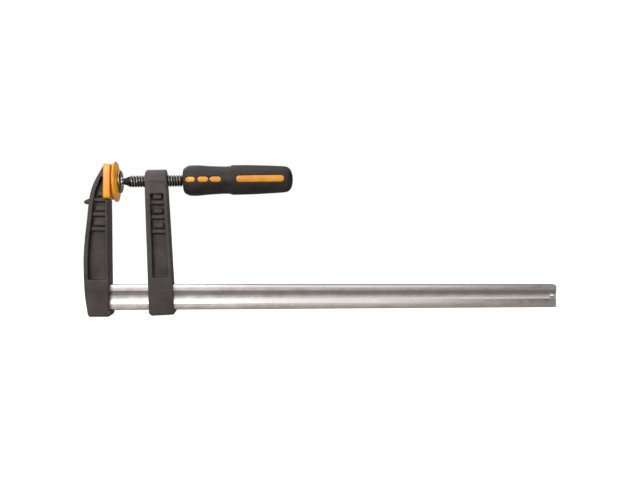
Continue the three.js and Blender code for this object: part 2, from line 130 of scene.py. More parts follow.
class Nodes:
    """A node tree that is filled through Values."""

    def __init__(self, tree: bpy.types.NodeTree) -> None:
        """Keeps the tree."""
        self.tree = tree

    def add(self, kind: str, settings: Optional[dict] = None, inputs: Optional[dict] = None,
            output: Any = 0) -> Value:
        """Adds a node, sets it up, then fills its sockets.

        Args:
            kind: The node's type.
            settings: Attributes, set first.
            inputs: Socket name or index to a number, tuple or Value.
            output: Which output is returned.

        Returns:
            The chosen output.
        """
        node = self.tree.nodes.new(kind)
        for key, value in (settings or {}).items():
            setattr(node, key, value)
        for key, value in (inputs or {}).items():
            self.fill(node.inputs[key], value)
        return Value(self, node.outputs[output])

    def fill(self, socket: Any, value: Any) -> None:
        """Links a Value to a socket, or sets a constant on it."""
        if isinstance(value, Value):
            self.tree.links.new(value.socket, socket)
        else:
            socket.default_value = value

    def maths(self, operation: str, a: Any, b: Any = 0.0) -> Value:
        """Adds a Math node."""
        return self.add("ShaderNodeMath", {"operation": operation}, {0: a, 1: b})

    def place(self, scale: Sequence[float] = (1, 1, 1), origin: Vector = Vector(),
              turn: float = 0.0) -> Value:
        """Object coordinates from an origin, turned about Y and scaled.

        Args:
            scale: Scale of each axis after the turn.
            origin: Point that becomes zero, in metres.
            turn: Angle in radians by which the pattern's X axis is raised from the row's.

        Returns:
            The coordinate.
        """
        coordinate = self.add("ShaderNodeTexCoord", output="Object")
        moved = self.add("ShaderNodeVectorMath", {"operation": "SUBTRACT"}, {0: coordinate, 1: tuple(origin)})
        return self.add("ShaderNodeMapping", {"vector_type": "POINT"},
                        {"Vector": moved, "Rotation": (0, turn, 0), "Scale": tuple(scale)})

    def parts(self, vector: Value) -> tuple[Value, Value, Value]:
        """The three parts of a vector."""
        node = self.tree.nodes.new("ShaderNodeSeparateXYZ")
        self.tree.links.new(vector.socket, node.inputs[0])
        return tuple(Value(self, out) for out in node.outputs)

    def noise(self, vector: Value, scale: float, detail: float = 3.0, roughness: float = 0.55) -> Value:
        """Soft noise around 0.5."""
        return self.add("ShaderNodeTexNoise", None, {"Vector": vector, "Scale": scale, "Detail": detail,
                                                     "Roughness": roughness})

    def cells(self, vector: Value, scale: float) -> Value:
        """Distance to the nearest of scattered points."""
        return self.add("ShaderNodeTexVoronoi", None, {"Vector": vector, "Scale": scale}, "Distance")

    def span(self, value: Value, low: float, high: float, to_low: float = 0.0, to_high: float = 1.0) -> Value:
        """Maps one range smoothly to another, held at its ends."""
        return self.add("ShaderNodeMapRange", {"interpolation_type": "SMOOTHSTEP"},
                        {0: value, 1: low, 2: high, 3: to_low, 4: to_high})

    def blend(self, amount: Any, a: Any, b: Any) -> Value:
        """Mixes two colours."""
        node = self.tree.nodes.new("ShaderNodeMix")
        node.data_type = "RGBA"
        self.fill(node.inputs["Factor"], amount)
        colours = [s for s in node.inputs if s.type == "RGBA"]
        for socket, colour in zip(colours, (a, b)):
            self.fill(socket, colour if isinstance(colour, Value) else (*colour, 1.0))
        return Value(self, next(s for s in node.outputs if s.type == "RGBA"))

    def bump(self, height: Value, strength: float, distance: float, below: Optional[Value] = None) -> Value:
        """Bump normal from a height, on top of another if one is given."""
        inputs: dict = {"Height": height, "Strength": strength, "Distance": distance}
        if below is not None:
            inputs["Normal"] = below
        return self.add("ShaderNodeBump", None, inputs)


class Graph(Nodes):
    """One material's node tree around a Principled shader."""

    def __init__(self, name: str) -> None:
        """Makes the material and finds its shader.

        Args:
            name: The material's name.
        """
        self.material = bpy.data.materials.new(name)
        self.material.use_nodes = True
        super().__init__(self.material.node_tree)
        self.shader = next(n for n in self.tree.nodes if n.type == "BSDF_PRINCIPLED")

    def set(self, **sockets: Any) -> bpy.types.Material:
        """Fills the shader's sockets.

        Args:
            **sockets: Socket names with underscores for spaces.

        Returns:
            The finished material.
        """
        for name, value in sockets.items():
            if isinstance(value, tuple) and len(value) == 3:
                value = (*value, 1.0)
            self.fill(self.shader.inputs[name.replace("_", " ")], value)
        return self.material


# ---------------------------------------------------------------- finishes


@dataclass(frozen=True)
class CastEnamel:
    """Black textured enamel on a casting, lighter and darker in random patches, with specks of dust."""

    light: tuple = (0.086, 0.067, 0.060)
    dark: tuple = (0.036, 0.028, 0.026)
    dust: tuple = (0.10, 0.088, 0.082)
    grain: float = 900.0
    lumps: float = 150.0

    def make(self) -> bpy.types.Material:
        """Builds the material."""
        g = Graph("cast_enamel")
        at = g.place()
        _, across, _ = g.parts(at)
        patches = g.noise(at, 38, 4)
        lumps = g.noise(at, self.lumps, 3)
        grain = g.noise(at, self.grain, 4, 0.65)
        tone = g.span(patches * 0.6 + grain * 0.4, 0.34, 0.66)
        colour = g.blend(tone, self.dark, self.light)
        dust = g.span(grain * lumps, 0.33, 0.44, 0.0, 0.3)
        colour = g.blend(dust, colour, self.dust)
        parting = 1 - g.span(abs(across), 0.0002, 0.0007)
        normal = g.bump(lumps * 0.8 + parting * 0.5, 0.35, 0.0009)
        normal = g.bump(grain, 0.5, 0.00035, normal)
        return g.set(Base_Color=colour, Roughness=g.span(grain, 0.3, 0.7, 0.42, 0.62), Normal=normal,
                     Specular_IOR_Level=0.34, Coat_Weight=0.03, Coat_Roughness=0.35)


@dataclass(frozen=True)
class DrawnSteel:
    """Bright zinc-plated steel with lengthwise draw lines and random warmer patches, with painted shade along
    its top and bottom edges, in the groove's upper half, on the lower land and towards its right end.
    """

    colour: tuple = (0.92, 0.88, 0.86)
    # Colour of the painted shade on the rounded edges and in the groove's upper half.
    painted_shade: tuple = (0.36, 0.325, 0.305)
    # Warmer tone for random patches, and for the painted shade on the lower land and towards the right end.
    warm_tone_and_shade: tuple = (0.88, 0.80, 0.765)
    drawn: tuple = (0.45, 0.43, 0.42)
    groove: float = 7.75
    upper_edge: float = 0.5
    lower_edge: float = 1.0
    fade: float = 1.2
    over: float = 0.2

    def make(self) -> bpy.types.Material:
        """Builds the material."""
        g = Graph("drawn_steel")
        low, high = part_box("rail")
        middle = (low.z + high.z) / 2
        groove_top, groove_bottom = middle + self.groove * MM, middle - self.groove * MM
        land_top, land_bottom = high.z - self.upper_edge * MM, low.z + self.lower_edge * MM
        along, _, height = g.parts(g.place())
        lines = g.noise(g.place((14, 900, 2600)), 1.0, 5, 0.6)
        broad = g.noise(g.place((3, 40, 260)), 1.0, 3)
        spots = g.noise(g.place(), 60, 5)
        fade, over = self.fade * MM, self.over * MM
        # Painted shade: a dull band over the bar's rounded top and bottom edges.
        edge = (g.span(height, land_top - fade, land_top + over)
                + g.span(height, land_bottom + over, land_bottom - fade))
        # Painted shade over the groove's upper half, which faces down.
        groove_shade = (g.span(height, groove_top + fade / 2, groove_top - fade / 2)
                 * g.span(height, middle + over, middle + 0.0034))
        # Painted shade: a warmer, darker tone over the lower land, below the groove.
        lower_land_shade = g.span(height, groove_bottom + 0.0008, groove_bottom - fade)
        colour = g.blend(g.span(broad, 0.35, 0.65, 0.0, 0.35), self.colour, self.warm_tone_and_shade)
        # Painted shade: warmer and darker towards the bar's right end.
        colour = g.blend(g.span(along, 0.30, 0.46, 0.0, 0.8), colour, self.warm_tone_and_shade)
        colour = g.blend(lower_land_shade * 0.75, colour, self.warm_tone_and_shade)
        colour = g.blend(groove_shade * 0.66, colour, self.painted_shade)
        colour = g.blend(edge * 0.85, colour, self.painted_shade)
        colour = g.blend(g.span(lines, 0.55, 0.72, 0.0, 0.35), colour, self.drawn)
        rough = g.span(lines * 0.6 + spots * 0.4, 0.36, 0.62, 0.2, 0.4)
        normal = g.bump(lines, 0.2, 0.00008)
        return g.set(Base_Color=colour, Metallic=1.0, Roughness=rough, Normal=normal)


@dataclass(frozen=True)
class TurnedSteel:
    """Plain steel of one tone, with fine mottling."""

    name: str
    colour: tuple
    roughness: float
    shade: float = 0.75

    def make(self) -> bpy.types.Material:
        """Builds the material."""
        g = Graph(self.name)
        at = g.place()
        mottle = g.noise(at, 420, 4)
        fine = g.noise(at, 2200, 2)
        darker = tuple(c * self.shade for c in self.colour)
        colour = g.blend(g.span(mottle, 0.35, 0.65), darker, self.colour)
        rough = g.span(fine, 0.3, 0.7, self.roughness * 0.8, self.roughness * 1.25)
        return g.set(Base_Color=colour, Metallic=1.0, Roughness=rough, Normal=g.bump(fine, 0.2, 0.00006))


@dataclass(frozen=True)
class ScrewSteel:
    """Black-oxide screw steel, worn bright on the thread's crests."""

    origin: Vector
    turn: float
    root: float = 5.8
    crest: float = 6.95
    oxide: tuple = (0.030, 0.028, 0.027)
    worn: tuple = (0.44, 0.425, 0.41)

    def make(self) -> bpy.types.Material:
        """Builds the material."""
        g = Graph("screw_steel")
        at = g.place(origin=self.origin, turn=self.turn)
        _, across, up = g.parts(at)
        radius = g.maths("SQRT", across * across + up * up)
        patches = g.noise(at, 260, 4)
        fine = g.noise(at, 1500, 3)
        height = g.span(radius, self.root * MM, self.crest * MM)
        wear = g.span(height * 0.75 + patches * 0.5, 0.82, 1.12)
        colour = g.blend(g.span(patches, 0.3, 0.7), self.oxide, tuple(c * 1.9 for c in self.oxide))
        colour = g.blend(wear, colour, self.worn)
        rough = g.span(fine, 0.3, 0.7, 0.26, 0.42)
        return g.set(Base_Color=colour, Metallic=g.span(wear, 0.0, 0.6, 0.6, 1.0), Roughness=rough,
                     Normal=g.bump(fine, 0.25, 0.0001))


@dataclass(frozen=True)
class MouldedPlastic:
    """Satin coloured plastic with a faint moulded grain, slightly darker in patches."""

    name: str
    colour: tuple
    deep: tuple
    roughness: float
    grain: float = 0.22
    coat: float = 0.15

    def make(self) -> bpy.types.Material:
        """Builds the material."""
        g = Graph(self.name)
        at = g.place()
        flow = g.noise(g.place((60, 90, 45)), 1.0, 3)
        fine = g.noise(at, 1400, 3, 0.6)
        colour = g.blend(g.span(flow, 0.35, 0.7), self.colour, self.deep)
        colour = g.blend(g.span(fine, 0.62, 0.78, 0.0, 0.3), colour, tuple(c * 0.6 for c in self.deep))
        rough = g.span(flow * 0.5 + fine * 0.5, 0.35, 0.65, self.roughness * 0.85, self.roughness * 1.2)
        return g.set(Base_Color=colour, Roughness=rough, Normal=g.bump(fine, self.grain, 0.00018),
                     Coat_Weight=self.coat, Coat_Roughness=0.25, Specular_IOR_Level=0.5)


@dataclass(frozen=True)
class SoftGrip:
    """Black soft grip with a fine matt grain, polished a little by the hand."""

    colour: tuple = (0.017, 0.015, 0.014)
    dusty: tuple = (0.037, 0.032, 0.029)

    def make(self) -> bpy.types.Material:
        """Builds the material."""
        g = Graph("soft_grip")
        at = g.place()
        grain = g.cells(at, 1700)
        fine = g.noise(at, 1100, 3)
        broad = g.noise(g.place((30, 55, 55)), 1.0, 3)
        colour = g.blend(g.span(broad * 0.7 + fine * 0.3, 0.4, 0.64), self.colour, self.dusty)
        rough = g.span(broad, 0.35, 0.65, 0.46, 0.66)
        normal = g.bump(grain, 0.3, 0.00022, g.bump(fine, 0.2, 0.0003))
        return g.set(Base_Color=colour, Roughness=rough, Normal=normal, Specular_IOR_Level=0.38)


# ---------------------------------------------------------------- mesh helpers


def hard_edges(bm: bmesh.types.BMesh, degrees: float = 30.0,
               keep: Callable[[Any], bool] = lambda e: True) -> list:
    """Edges whose faces turn by more than an angle.

    Args:
        bm: The mesh.
        degrees: The least turn.
        keep: A further test.

    Returns:
        The edges.
    """
    limit = math.radians(degrees)
    return [e for e in bm.edges if len(e.link_faces) == 2 and e.calc_face_angle(0) > limit and keep(e)]


def round_edges(bm: bmesh.types.BMesh, edges: Iterable, radius: float, segments: int = 3) -> None:
    """Rounds edges by a radius in millimetres."""
    bmesh.ops.bevel(bm, geom=list(edges), offset=radius * MM, offset_type="OFFSET", segments=segments,
                    profile=0.5, affect="EDGES", material=-1, clamp_overlap=True)


def turned_body(points: Sequence[tuple[float, float]], segments: int = 64,
                closed: bool = False) -> bmesh.types.BMesh:
    """A body turned about X from places along it and radii, in millimetres.

    Args:
        points: (place along X, radius) in order.
        segments: Steps round.
        closed: Joins the last point to the first, for a ring.

    Returns:
        The mesh, facing out.
    """
    bm = bmesh.new()
    verts = [bm.verts.new((x * MM, 0, r * MM)) for x, r in points]
    pairs = list(zip(verts, verts[1:])) + ([(verts[-1], verts[0])] if closed else [])
    edges = [bm.edges.new(pair) for pair in pairs]
    bmesh.ops.spin(bm, geom=verts + edges, cent=(0, 0, 0), axis=(1, 0, 0), dvec=(0, 0, 0),
                   angle=math.tau, steps=segments, use_merge=True, use_duplicate=False)
    bmesh.ops.remove_doubles(bm, verts=bm.verts, dist=1e-6)
    bmesh.ops.recalc_face_normals(bm, faces=bm.faces)
    return bm


def smooth_profile(points: Sequence[tuple[float, float]], step: float) -> list[tuple[float, float]]:
    """A fair curve through points whose places rise, at a given step.

    Args:
        points: (place, radius) in order.
        step: Distance between the new places.

    Returns:
        The finer points, with both ends.
    """
    xs, ys = [p[0] for p in points], [p[1] for p in points]
    slopes = [(b - a) / (d - c) for a, b, c, d in zip(ys, ys[1:], xs, xs[1:])]
    tangents = [slopes[0]]
    for a, b in zip(slopes, slopes[1:]):
        tangents.append(0.0 if a * b <= 0 else 2 * a * b / (a + b))
    tangents.append(slopes[-1])
    fine = []
    for i, slope in enumerate(slopes):
        length = xs[i + 1] - xs[i]
        count = max(1, round(length / step))
        for k in range(count):
            t = k / count
            h00, h10 = (1 + 2 * t) * (1 - t) ** 2, t * (1 - t) ** 2
            h01, h11 = t * t * (3 - 2 * t), t * t * (t - 1)
            fine.append((xs[i] + t * length, h00 * ys[i] + h10 * length * tangents[i]
                         + h01 * ys[i + 1] + h11 * length * tangents[i + 1]))
    return fine + [(xs[-1], ys[-1])]


def arc(radius: float, start: float, stop: float, steps: int) -> list[tuple[float, float]]:
    """Points of a ball's outline between two places along X, in millimetres."""
    a, b = math.acos(start / radius), math.acos(stop / radius)
    return [(radius * math.cos(a + (b - a) * i / steps), radius * math.sin(a + (b - a) * i / steps))
            for i in range(steps + 1)]


def loose_object(bm: bmesh.types.BMesh, name: str) -> bpy.types.Object:
    """Puts a mesh in an object of the scene and frees the bmesh."""
    mesh = bpy.data.meshes.new(name)
    bm.to_mesh(mesh)
    bm.free()
    obj = bpy.data.objects.new(name, mesh)
    bpy.context.scene.collection.objects.link(obj)
    return obj


def apply_modifiers(obj: bpy.types.Object) -> None:
    """Makes an object's modifiers part of its mesh."""
    bpy.context.view_layer.update()
    graph = bpy.context.evaluated_depsgraph_get()
    mesh = bpy.data.meshes.new_from_object(obj.evaluated_get(graph))
    obj.modifiers.clear()
    obj.data = mesh


def cut(obj: bpy.types.Object, other: bmesh.types.BMesh, operation: str = "DIFFERENCE") -> None:
    """Joins, cuts or keeps the common part of an object with another body.

    Args:
        obj: The object that changes.
        other: The other body; it is freed.
        operation: DIFFERENCE, UNION or INTERSECT.
    """
    tool = loose_object(other, "cutter")
    modifier = obj.modifiers.new("cut", "BOOLEAN")
    modifier.operation, modifier.solver, modifier.object = operation, "EXACT", tool
    apply_modifiers(obj)
    bpy.data.objects.remove(tool)


def soften(obj: bpy.types.Object, voxel: float, passes: int) -> None:
    """Gives a body the soft edges of a casting or moulding.

    Args:
        obj: The object.
        voxel: Size of the new faces in millimetres.
        passes: How often the surface is smoothed.
    """
    remesh = obj.modifiers.new("even", "REMESH")
    remesh.mode, remesh.voxel_size, remesh.use_smooth_shade = "VOXEL", voxel * MM, True
    smooth = obj.modifiers.new("soft", "SMOOTH")
    smooth.factor, smooth.iterations = 0.5, passes
    apply_modifiers(obj)


def piece(obj: bpy.types.Object, material: bpy.types.Material, body: str,
          nodes: Sequence[str], crease: float = 40.0) -> bpy.types.Object:
    """Finishes a piece: its shading, finish, body and the CAD nodes it stands for.

    Args:
        obj: The piece.
        material: Its finish.
        body: The CAD body it rides on.
        nodes: The CAD nodes it stands for.
        crease: Edges that turn by more than this stay sharp.

    Returns:
        The piece.
    """
    mesh = obj.data
    mesh.materials.clear()
    mesh.materials.append(material)
    mesh.shade_smooth()
    mesh.set_sharp_from_angle(angle=math.radians(crease))
    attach(obj, body)
    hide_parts(*nodes)
    LOG.info("%s: %d faces on body %s", obj.name, len(mesh.polygons), body)
    return obj


def place_on(bm: bmesh.types.BMesh, matrix: Matrix) -> bmesh.types.BMesh:
    """Moves a mesh made about X to its place."""
    bmesh.ops.transform(bm, matrix=matrix, verts=bm.verts)
    return bm


def axis_place(joint_name: str) -> tuple[Matrix, float]:
    """The place of a joint whose axis lies in the XZ plane.

    Args:
        joint_name: The joint's name.

    Returns:
        A matrix that takes X to the joint's axis and zero to its point, and the axis's rise in radians.
    """
    joint = next(j for j in frame["joints"] if j["name"] == joint_name)
    axis = Vector(joint["axis"])
    rise = math.atan2(axis.z, axis.x)
    return Matrix.Translation(Vector(joint["pos_m"])) @ Matrix.Rotation(-rise, 4, "Y"), rise


# ---------------------------------------------------------------- rail


@dataclass
class Rail:
    """The grooved flat bar and the pin that stops the arm at its end."""

    groove_height: float = 15.0
    groove_depth: float = 0.9
    corner: float = 1.2
    end_chamfer: float = 2.0
    end_edge: float = 0.25
    groove_steps: int = 12
    hole: float = 5.6
    pin_bevel: float = 0.5

    def bar(self, steel: bpy.types.Material) -> bpy.types.Object:
        """Builds the grooved bar.

        Args:
            steel: Its finish.

        Returns:
            The piece.
        """
        low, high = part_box("rail")
        middle = (low.z + high.z) / 2
        half, reach = high.y, self.groove_height / 2 * MM
        bm = bmesh.new()
        shares = [2 * i / self.groove_steps - 1 for i in range(self.groove_steps + 1)]
        sag = [(middle + reach * share, self.groove_depth * MM * (1 - share ** 2)) for share in shares]
        outline = [(-half, low.z)] + [(-half + d, z) for z, d in sag] + [(-half, high.z), (half, high.z)]
        outline += [(half - d, z) for z, d in reversed(sag)] + [(half, low.z)]
        face = bm.faces.new([bm.verts.new((low.x, y, z)) for y, z in outline])
        grown = bmesh.ops.extrude_face_region(bm, geom=[face])["geom"]
        moved = [v for v in grown if isinstance(v, bmesh.types.BMVert)]
        bmesh.ops.translate(bm, verts=moved, vec=(high.x - low.x, 0, 0))
        bmesh.ops.recalc_face_normals(bm, faces=bm.faces)
        round_edges(bm, hard_edges(bm, 60, lambda e: abs((e.verts[0].co - e.verts[1].co).x) > 0.1),
                    self.corner, 4)
        corner = Vector((high.x - self.end_chamfer * MM / 2, 0, high.z - self.end_chamfer * MM / 2))
        bmesh.ops.bisect_plane(bm, geom=bm.verts[:] + bm.edges[:] + bm.faces[:], plane_co=corner,
                               plane_no=(1, 0, 1), clear_outer=True)
        bmesh.ops.holes_fill(bm, edges=[e for e in bm.edges if e.is_boundary])
        round_edges(bm, hard_edges(bm, 40, lambda e: min(v.co.x for v in e.verts) > high.x - 4 * MM),
                    self.end_edge, 2)
        obj = loose_object(bm, "rail_bar")
        for node in ("end_stop_pin", "jaw_pin_upper", "jaw_pin_lower"):
            cut(obj, cross_rod(node, self.hole, 0))
        return piece(obj, steel, "rail_frame", ["rail"], 35)

    def stop_pin(self, steel: bpy.types.Material) -> bpy.types.Object:
        """Builds the stop pin."""
        obj = loose_object(cross_rod("end_stop_pin", None, self.pin_bevel), "stop_pin")
        return piece(obj, steel, "rail_frame", ["end_stop_pin"])


def cross_rod(node: str, diameter: Optional[float], bevel: float) -> bmesh.types.BMesh:
    """A round rod along Y where a CAD pin is.

    Args:
        node: The CAD pin.
        diameter: Its diameter in millimetres, or none for the CAD pin's own.
        bevel: Rounding of its ends; 0 makes a plain cutter that reaches further.

    Returns:
        The mesh.
    """
    low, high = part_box(node)
    radius = diameter / 2 * MM if diameter else (high.x - low.x) / 2
    length = (high.y - low.y) + (0 if bevel else 2 * CUTTER_REACH * MM)
    bm = bmesh.new()
    bmesh.ops.create_cone(bm, cap_ends=True, cap_tris=False, segments=40, radius1=radius, radius2=radius,
                          depth=length, matrix=Matrix.Translation((low + high) / 2)
                          @ Matrix.Rotation(math.pi / 2, 4, "X"))
    if bevel:
        round_edges(bm, hard_edges(bm, 60), bevel, 3)
    return bm


# ---------------------------------------------------------------- castings


@dataclass
class Casting:
    """A casting with soft edges, and the pins pressed into it."""

    node: str
    body: str
    name: str
    voxel: float = 0.6
    passes: int = 5
    pin_bevel: float = 0.4

    def shell(self, enamel: bpy.types.Material) -> bpy.types.Object:
        """Builds the casting from its CAD shape.

        Args:
            enamel: Its finish.

        Returns:
            The piece.
        """
        bm = bmesh.new()
        bm.from_mesh(frame["nodes"][self.node].data)
        bmesh.ops.remove_doubles(bm, verts=bm.verts, dist=2e-6)
        obj = loose_object(bm, self.name)
        soften(obj, self.voxel, self.passes)
        return piece(obj, enamel, self.body, [self.node], 180)

    def pin(self, node: str, body: str, name: str, steel: bpy.types.Material) -> bpy.types.Object:
        """Builds one of its pins.

        Args:
            node: The CAD pin.
            body: The body that the pin rides on.
            name: The piece's name.
            steel: Its finish.

        Returns:
            The piece.
        """
        rod = loose_object(cross_rod(node, None, self.pin_bevel), name)
        return piece(rod, steel, body, [node])


# ---------------------------------------------------------------- jaw cap


@dataclass
class JawCap:
    """The slip-on cap over the fixed jaw's head."""

    corner: float = 2.5
    wall: float = 2.4
    face: float = 2.3
    edge: float = 0.7

    def build(self, plastic: bpy.types.Material) -> bpy.types.Object:
        """Builds the cap.

        Args:
            plastic: Its finish.

        Returns:
            The piece.
        """
        low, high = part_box("jaw_cap")
        size = high - low
        bm = bmesh.new()
        bmesh.ops.create_cube(bm, size=1, matrix=Matrix.Translation((low + high) / 2)
                              @ Matrix.Diagonal((*size, 1)))
        round_edges(bm, [e for e in bm.edges if abs((e.verts[0].co - e.verts[1].co).x) > size.x / 2],
                    self.corner, 6)
        back = min(bm.faces, key=lambda f: f.calc_center_median().x)
        bmesh.ops.inset_region(bm, faces=[back], thickness=self.wall * MM, use_even_offset=True)
        grown = bmesh.ops.extrude_face_region(bm, geom=[back])["geom"]
        moved = [v for v in grown if isinstance(v, bmesh.types.BMVert)]
        bmesh.ops.delete(bm, geom=[back], context="FACES_ONLY")
        bmesh.ops.translate(bm, verts=moved, vec=(size.x - self.face * MM, 0, 0))
        bmesh.ops.recalc_face_normals(bm, faces=bm.faces)
        middle = (low.x + high.x) / 2
        round_edges(bm, hard_edges(bm, 60, lambda e: abs((e.verts[0].co - e.verts[1].co).x) < 1e-5
                                   and abs(e.verts[0].co.x - middle) > size.x * 0.45),
                    self.edge, 4)
        return piece(loose_object(bm, "jaw_cap_cover"), plastic, "rail_frame", ["jaw_cap"], 35)


# ---------------------------------------------------------------- screw and handle


@dataclass
class Screw:
    """The screw, with its neck and rolled thread, and the ball on its end; x is from the ball's middle."""

    ball: float = 5.7
    ball_flat: float = 2.7
    neck: float = 3.7
    neck_end: float = 5.8
    thread_start: float = 8.8
    thread_end: float = 70.5
    root: float = 5.5
    crest: float = 7.0
    pitch: float = 3.0
    run_in: float = 4.5
    tang: float = 4.5
    tang_end: float = 141.5
    core: float = 5.0
    seat_gap: float = 0.3
    steps: int = 40
    tooth: tuple = ((0.0, 0.0), (0.07, 0.0), (0.26, 0.62), (0.37, 0.95), (0.45, 1.0), (0.55, 1.0),
                    (0.63, 0.95), (0.74, 0.62), (0.93, 0.0), (1.0, 0.0))

    def thread(self) -> bmesh.types.BMesh:
        """One turn of the thread's outline, wound along the screw and trimmed at both ends."""
        start = self.thread_start - self.pitch
        turns = math.ceil((self.thread_end - start) / self.pitch) + 1
        depth = self.crest - self.root
        bm = bmesh.new()
        verts = [bm.verts.new(((start + self.pitch * t) * MM, 0, (self.root + depth * h) * MM))
                 for t, h in self.tooth]
        edges = [bm.edges.new(pair) for pair in zip(verts, verts[1:])]
        bmesh.ops.spin(bm, geom=verts + edges, cent=(0, 0, 0), axis=(1, 0, 0),
                       dvec=(self.pitch * MM / self.steps, 0, 0), angle=math.tau * turns,
                       steps=self.steps * turns, use_merge=False, use_duplicate=False)
        bmesh.ops.remove_doubles(bm, verts=bm.verts, dist=2e-6)
        for place, side in ((self.thread_start, -1), (self.thread_end, 1)):
            bmesh.ops.bisect_plane(bm, geom=bm.verts[:] + bm.edges[:] + bm.faces[:], dist=1e-7,
                                   plane_co=(place * MM, 0, 0), plane_no=(side, 0, 0), clear_outer=True)
        for vert in bm.verts:
            share = min(1.0, max(0.0, (vert.co.x / MM - self.thread_start) / self.run_in))
            limit = (self.core + (self.crest - self.core) * share) * MM
            radius = math.hypot(vert.co.y, vert.co.z)
            if radius > limit:
                vert.co.y, vert.co.z = vert.co.y * limit / radius, vert.co.z * limit / radius
        bmesh.ops.holes_fill(bm, edges=[e for e in bm.edges if e.is_boundary])
        bmesh.ops.recalc_face_normals(bm, faces=bm.faces)
        return bm

    def build(self, place: Matrix, steel: bpy.types.Material) -> bpy.types.Object:
        """Builds the screw.

        Args:
            place: Takes X to the screw's axis.
            steel: Its finish.

        Returns:
            The piece.
        """
        seat = math.sqrt((self.ball + self.seat_gap) ** 2 - self.neck ** 2)
        shank = turned_body([
            (seat - 0.6, 0), (seat, self.neck), (self.neck_end, self.neck),
            (self.neck_end + 0.7, self.neck + 0.25), (self.thread_start - 0.8, self.core - 0.4),
            (self.thread_start + 0.5, self.core), (self.thread_end - 1, self.core - 0.1),
            (self.thread_end + 0.3, self.tang), (self.tang_end - 0.6, self.tang),
            (self.tang_end, self.tang - 0.6), (self.tang_end, 0),
        ], 48)
        obj = loose_object(place_on(self.thread(), place), "screw_thread")
        cut(obj, place_on(shank, place), "UNION")
        return piece(obj, steel, "screw", ["spindle"], 50)

    def ball_end(self, place: Matrix, chrome: bpy.types.Material) -> bpy.types.Object:
        """Builds the ball.

        Args:
            place: Takes X to the pad's axis.
            chrome: Its finish.

        Returns:
            The piece.
        """
        points = [(-self.ball_flat, 0)] + arc(self.ball, -self.ball_flat, self.ball, 26)
        bm = turned_body(points, 48)
        round_edges(bm, hard_edges(bm, 30), 0.2, 2)
        return piece(loose_object(place_on(bm, place), "ball_end"), chrome, "screw_end",
                     ["spindle_ball"])


@dataclass
class Handle:
    """The black grip over an orange core that shows in its windows; x is from the grip's front end."""

    front: float = 71.5
    wall: float = 2.2
    sink: float = 0.45
    gap: float = 0.25
    core_gap: float = 0.3
    socket: float = 4.8
    socket_start: float = -6.0
    socket_end: float = 70.3
    voxel: float = 0.6
    passes: int = 3
    outline: tuple = ((0, 9.3), (0.5, 12.2), (1.3, 14.1), (3.6, 15.9), (8, 17.75), (15, 18.0), (29, 16.95),
                      (50, 16.15), (54.5, 16.5), (57.2, 17.6), (71, 17.55), (107, 16.35), (118, 15.75),
                      (122, 15.1), (125, 13.2), (127.3, 9.8), (128.6, 5.4), (129, 0))
    windows: tuple = ((3.2, 15.0, 6.8), (17.0, 29.8, 6.8), (30.7, 44.4, 6.8), (60.9, 117.7, 8.5))

    def body(self, inset: float) -> bmesh.types.BMesh:
        """The turned outline, moved in by a distance."""
        squeeze = 1 - 2 * inset / self.outline[-1][0]
        moved = [(self.front + inset + x * squeeze, max(r - inset, 0.0))
                 for x, r in smooth_profile(self.outline, 1.2)]
        if moved[0][1] > 0:
            moved.insert(0, (moved[0][0], 0.0))
        return turned_body(moved, 96)

    def window(self, opening: Sequence[float], margin: float) -> bmesh.types.BMesh:
        """A rounded opening, right across the handle.

        Args:
            opening: Both ends and the height.
            margin: Added all round.

        Returns:
            The cutter.
        """
        start, end, height = opening
        length, tall = end - start + 2 * margin, height + 2 * margin
        bm = bmesh.new()
        place = Matrix.Translation(((self.front + (start + end) / 2) * MM, 0, 0))
        shape = Matrix.Diagonal((length * MM, 0.05, tall * MM, 1))
        bmesh.ops.create_cube(bm, size=1, matrix=place @ shape)
        round_edges(bm, [e for e in bm.edges if abs((e.verts[0].co - e.verts[1].co).y) > 0.01],
                    tall / 2 - 0.02, 12)
        return bm

    def build(self, place: Matrix, black: bpy.types.Material, orange: bpy.types.Material) -> list:
        """Builds the grip and its core.

        Args:
            place: Takes X to the screw's axis.
            black: The grip's finish.
            orange: The core's finish.

        Returns:
            Both pieces.
        """
        mouth, end = self.front + self.socket_start, self.front + self.socket_end
        socket = [(mouth, 0), (mouth, self.socket), (end, self.socket), (end, 0)]
        grip = loose_object(self.body(0), "grip")
        cut(grip, self.body(self.wall))
        core = loose_object(self.body(self.sink), "core")
        openings = bmesh.new()
        for opening in self.windows:
            cut(grip, self.window(opening, 0))
            part = self.window(opening, -self.gap)
            mesh = bpy.data.meshes.new("part")
            part.to_mesh(mesh)
            part.free()
            openings.from_mesh(mesh)
        cut(core, openings, "INTERSECT")
        cut(core, self.body(self.wall + self.core_gap), "UNION")
        cut(core, turned_body(socket, 32))
        cut(grip, turned_body(socket, 32))
        for obj in (grip, core):
            soften(obj, self.voxel, self.passes)
            obj.data.transform(place)
        return [piece(grip, black, "screw", ["handle_grip"], 180),
                piece(core, orange, "screw", ["handle_core"], 180)]


# ---------------------------------------------------------------- pressure pad


